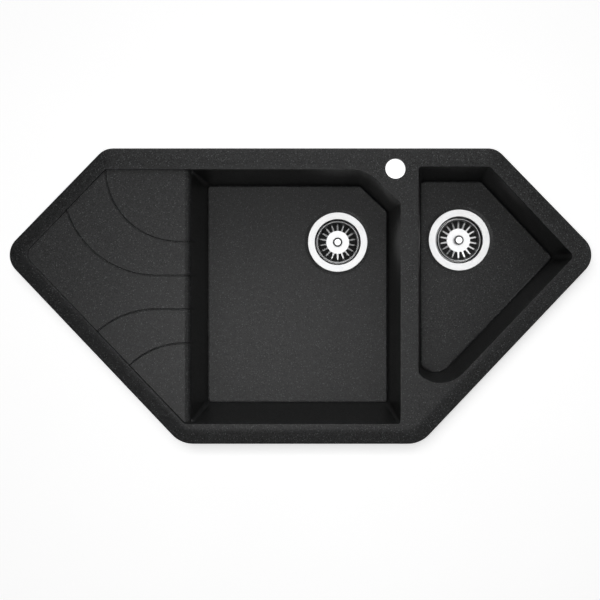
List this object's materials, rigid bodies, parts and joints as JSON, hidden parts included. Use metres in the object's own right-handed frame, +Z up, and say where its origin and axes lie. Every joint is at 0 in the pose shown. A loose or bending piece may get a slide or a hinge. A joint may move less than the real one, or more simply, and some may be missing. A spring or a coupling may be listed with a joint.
{
  "type": "corner kitchen sink",
  "caption": "Six-sided inset corner sink with a deep bowl, a shallow half bowl, a grooved drainer, an open tap hole, basket strainer wastes and swinging rim clamps.",
  "frame": {"origin": "centre of the rim outline, on the plane of the worktop that the rim rests on", "axes": "+X to the half bowl's side, +Y to the back edge with the tap hole, +Z up out of the bowls"},
  "size_m": [0.9998, 0.508, 0.268],
  "materials": {
    "composite": "fine-textured matt black granite composite with light specks",
    "stainless_steel": "polished and fine-brushed",
    "zinc_steel": "zinc-plated, satin",
    "brass": "machined",
    "black_rubber": "matt",
    "foam": "closed-cell foam",
    "housing_plastic": "moulded polypropylene"
  },
  "bodies": {
    "root": {"sink_body": "composite", "rim_seal": "foam", "clamp_inserts": "brass", "clamp_screws": "zinc_steel", "main_waste_flange": "stainless_steel", "main_flange_gasket": "black_rubber", "main_lower_gasket": "black_rubber", "main_waste_body": "housing_plastic", "main_insert_nut": "brass", "main_centre_screw": "stainless_steel", "half_waste_flange": "stainless_steel", "half_flange_gasket": "black_rubber", "half_lower_gasket": "black_rubber", "half_waste_body": "housing_plastic", "half_insert_nut": "brass", "half_centre_screw": "stainless_steel"},
    "main_plug": {"main_basket_knob": "stainless_steel", "main_basket_stem": "stainless_steel", "main_stopper_seal": "black_rubber", "main_stem_clip": "stainless_steel"},
    "main_basket": {"main_basket": "stainless_steel"},
    "half_plug": {"half_basket_knob": "stainless_steel", "half_basket_stem": "stainless_steel", "half_stopper_seal": "black_rubber", "half_stem_clip": "stainless_steel"},
    "half_basket": {"half_basket": "stainless_steel"},
    "claw_1": {"clamp_claw_1": "zinc_steel"},
    "claw_2": {"clamp_claw_2": "zinc_steel"},
    "claw_3": {"clamp_claw_3": "zinc_steel"},
    "claw_4": {"clamp_claw_4": "zinc_steel"},
    "claw_5": {"clamp_claw_5": "zinc_steel"},
    "claw_6": {"clamp_claw_6": "zinc_steel"},
    "claw_7": {"clamp_claw_7": "zinc_steel"},
    "claw_8": {"clamp_claw_8": "zinc_steel"}
  },
  "joints": [
    {"name": "main_basket_lift", "type": "slide", "parent": "root", "child": "main_plug", "axis": [0, 0, 1], "range_m": [0, 0.24]},
    {"name": "main_basket_spin", "type": "hinge", "parent": "main_plug", "child": "main_basket", "pos_m": [0.065, 0.098, -0.2063], "axis": [0, 0, 1], "continuous": true},
    {"name": "half_basket_lift", "type": "slide", "parent": "root", "child": "half_plug", "axis": [0, 0, 1], "range_m": [0, 0.175]},
    {"name": "half_basket_spin", "type": "hinge", "parent": "half_plug", "child": "half_basket", "pos_m": [0.285, 0.1, -0.1413], "axis": [0, 0, 1], "continuous": true},
    {"name": "claw_1_swing", "type": "hinge", "parent": "root", "child": "claw_1", "pos_m": [0.40516, 0.1577, -0.0505], "axis": [0, 0, 1], "range_deg": [-90, 0]},
    {"name": "claw_2_swing", "type": "hinge", "parent": "root", "child": "claw_2", "pos_m": [0.21916, 0.236, -0.0505], "axis": [0, 0, 1], "range_deg": [-90, 0]},
    {"name": "claw_3_swing", "type": "hinge", "parent": "root", "child": "claw_3", "pos_m": [-0.21916, 0.236, -0.0505], "axis": [0, 0, 1], "range_deg": [-90, 0]},
    {"name": "claw_4_swing", "type": "hinge", "parent": "root", "child": "claw_4", "pos_m": [-0.40516, 0.1577, -0.0505], "axis": [0, 0, 1], "range_deg": [-90, 0]},
    {"name": "claw_5_swing", "type": "hinge", "parent": "root", "child": "claw_5", "pos_m": [-0.36911, -0.0559, -0.0505], "axis": [0, 0, 1], "range_deg": [-90, 0]},
    {"name": "claw_6_swing", "type": "hinge", "parent": "root", "child": "claw_6", "pos_m": [-0.1476, -0.236, -0.0505], "axis": [0, 0, 1], "range_deg": [-90, 0]},
    {"name": "claw_7_swing", "type": "hinge", "parent": "root", "child": "claw_7", "pos_m": [0.1476, -0.236, -0.0505], "axis": [0, 0, 1], "range_deg": [-90, 0]},
    {"name": "claw_8_swing", "type": "hinge", "parent": "root", "child": "claw_8", "pos_m": [0.36911, -0.0559, -0.0505], "axis": [0, 0, 1], "range_deg": [-90, 0]}
  ]
}
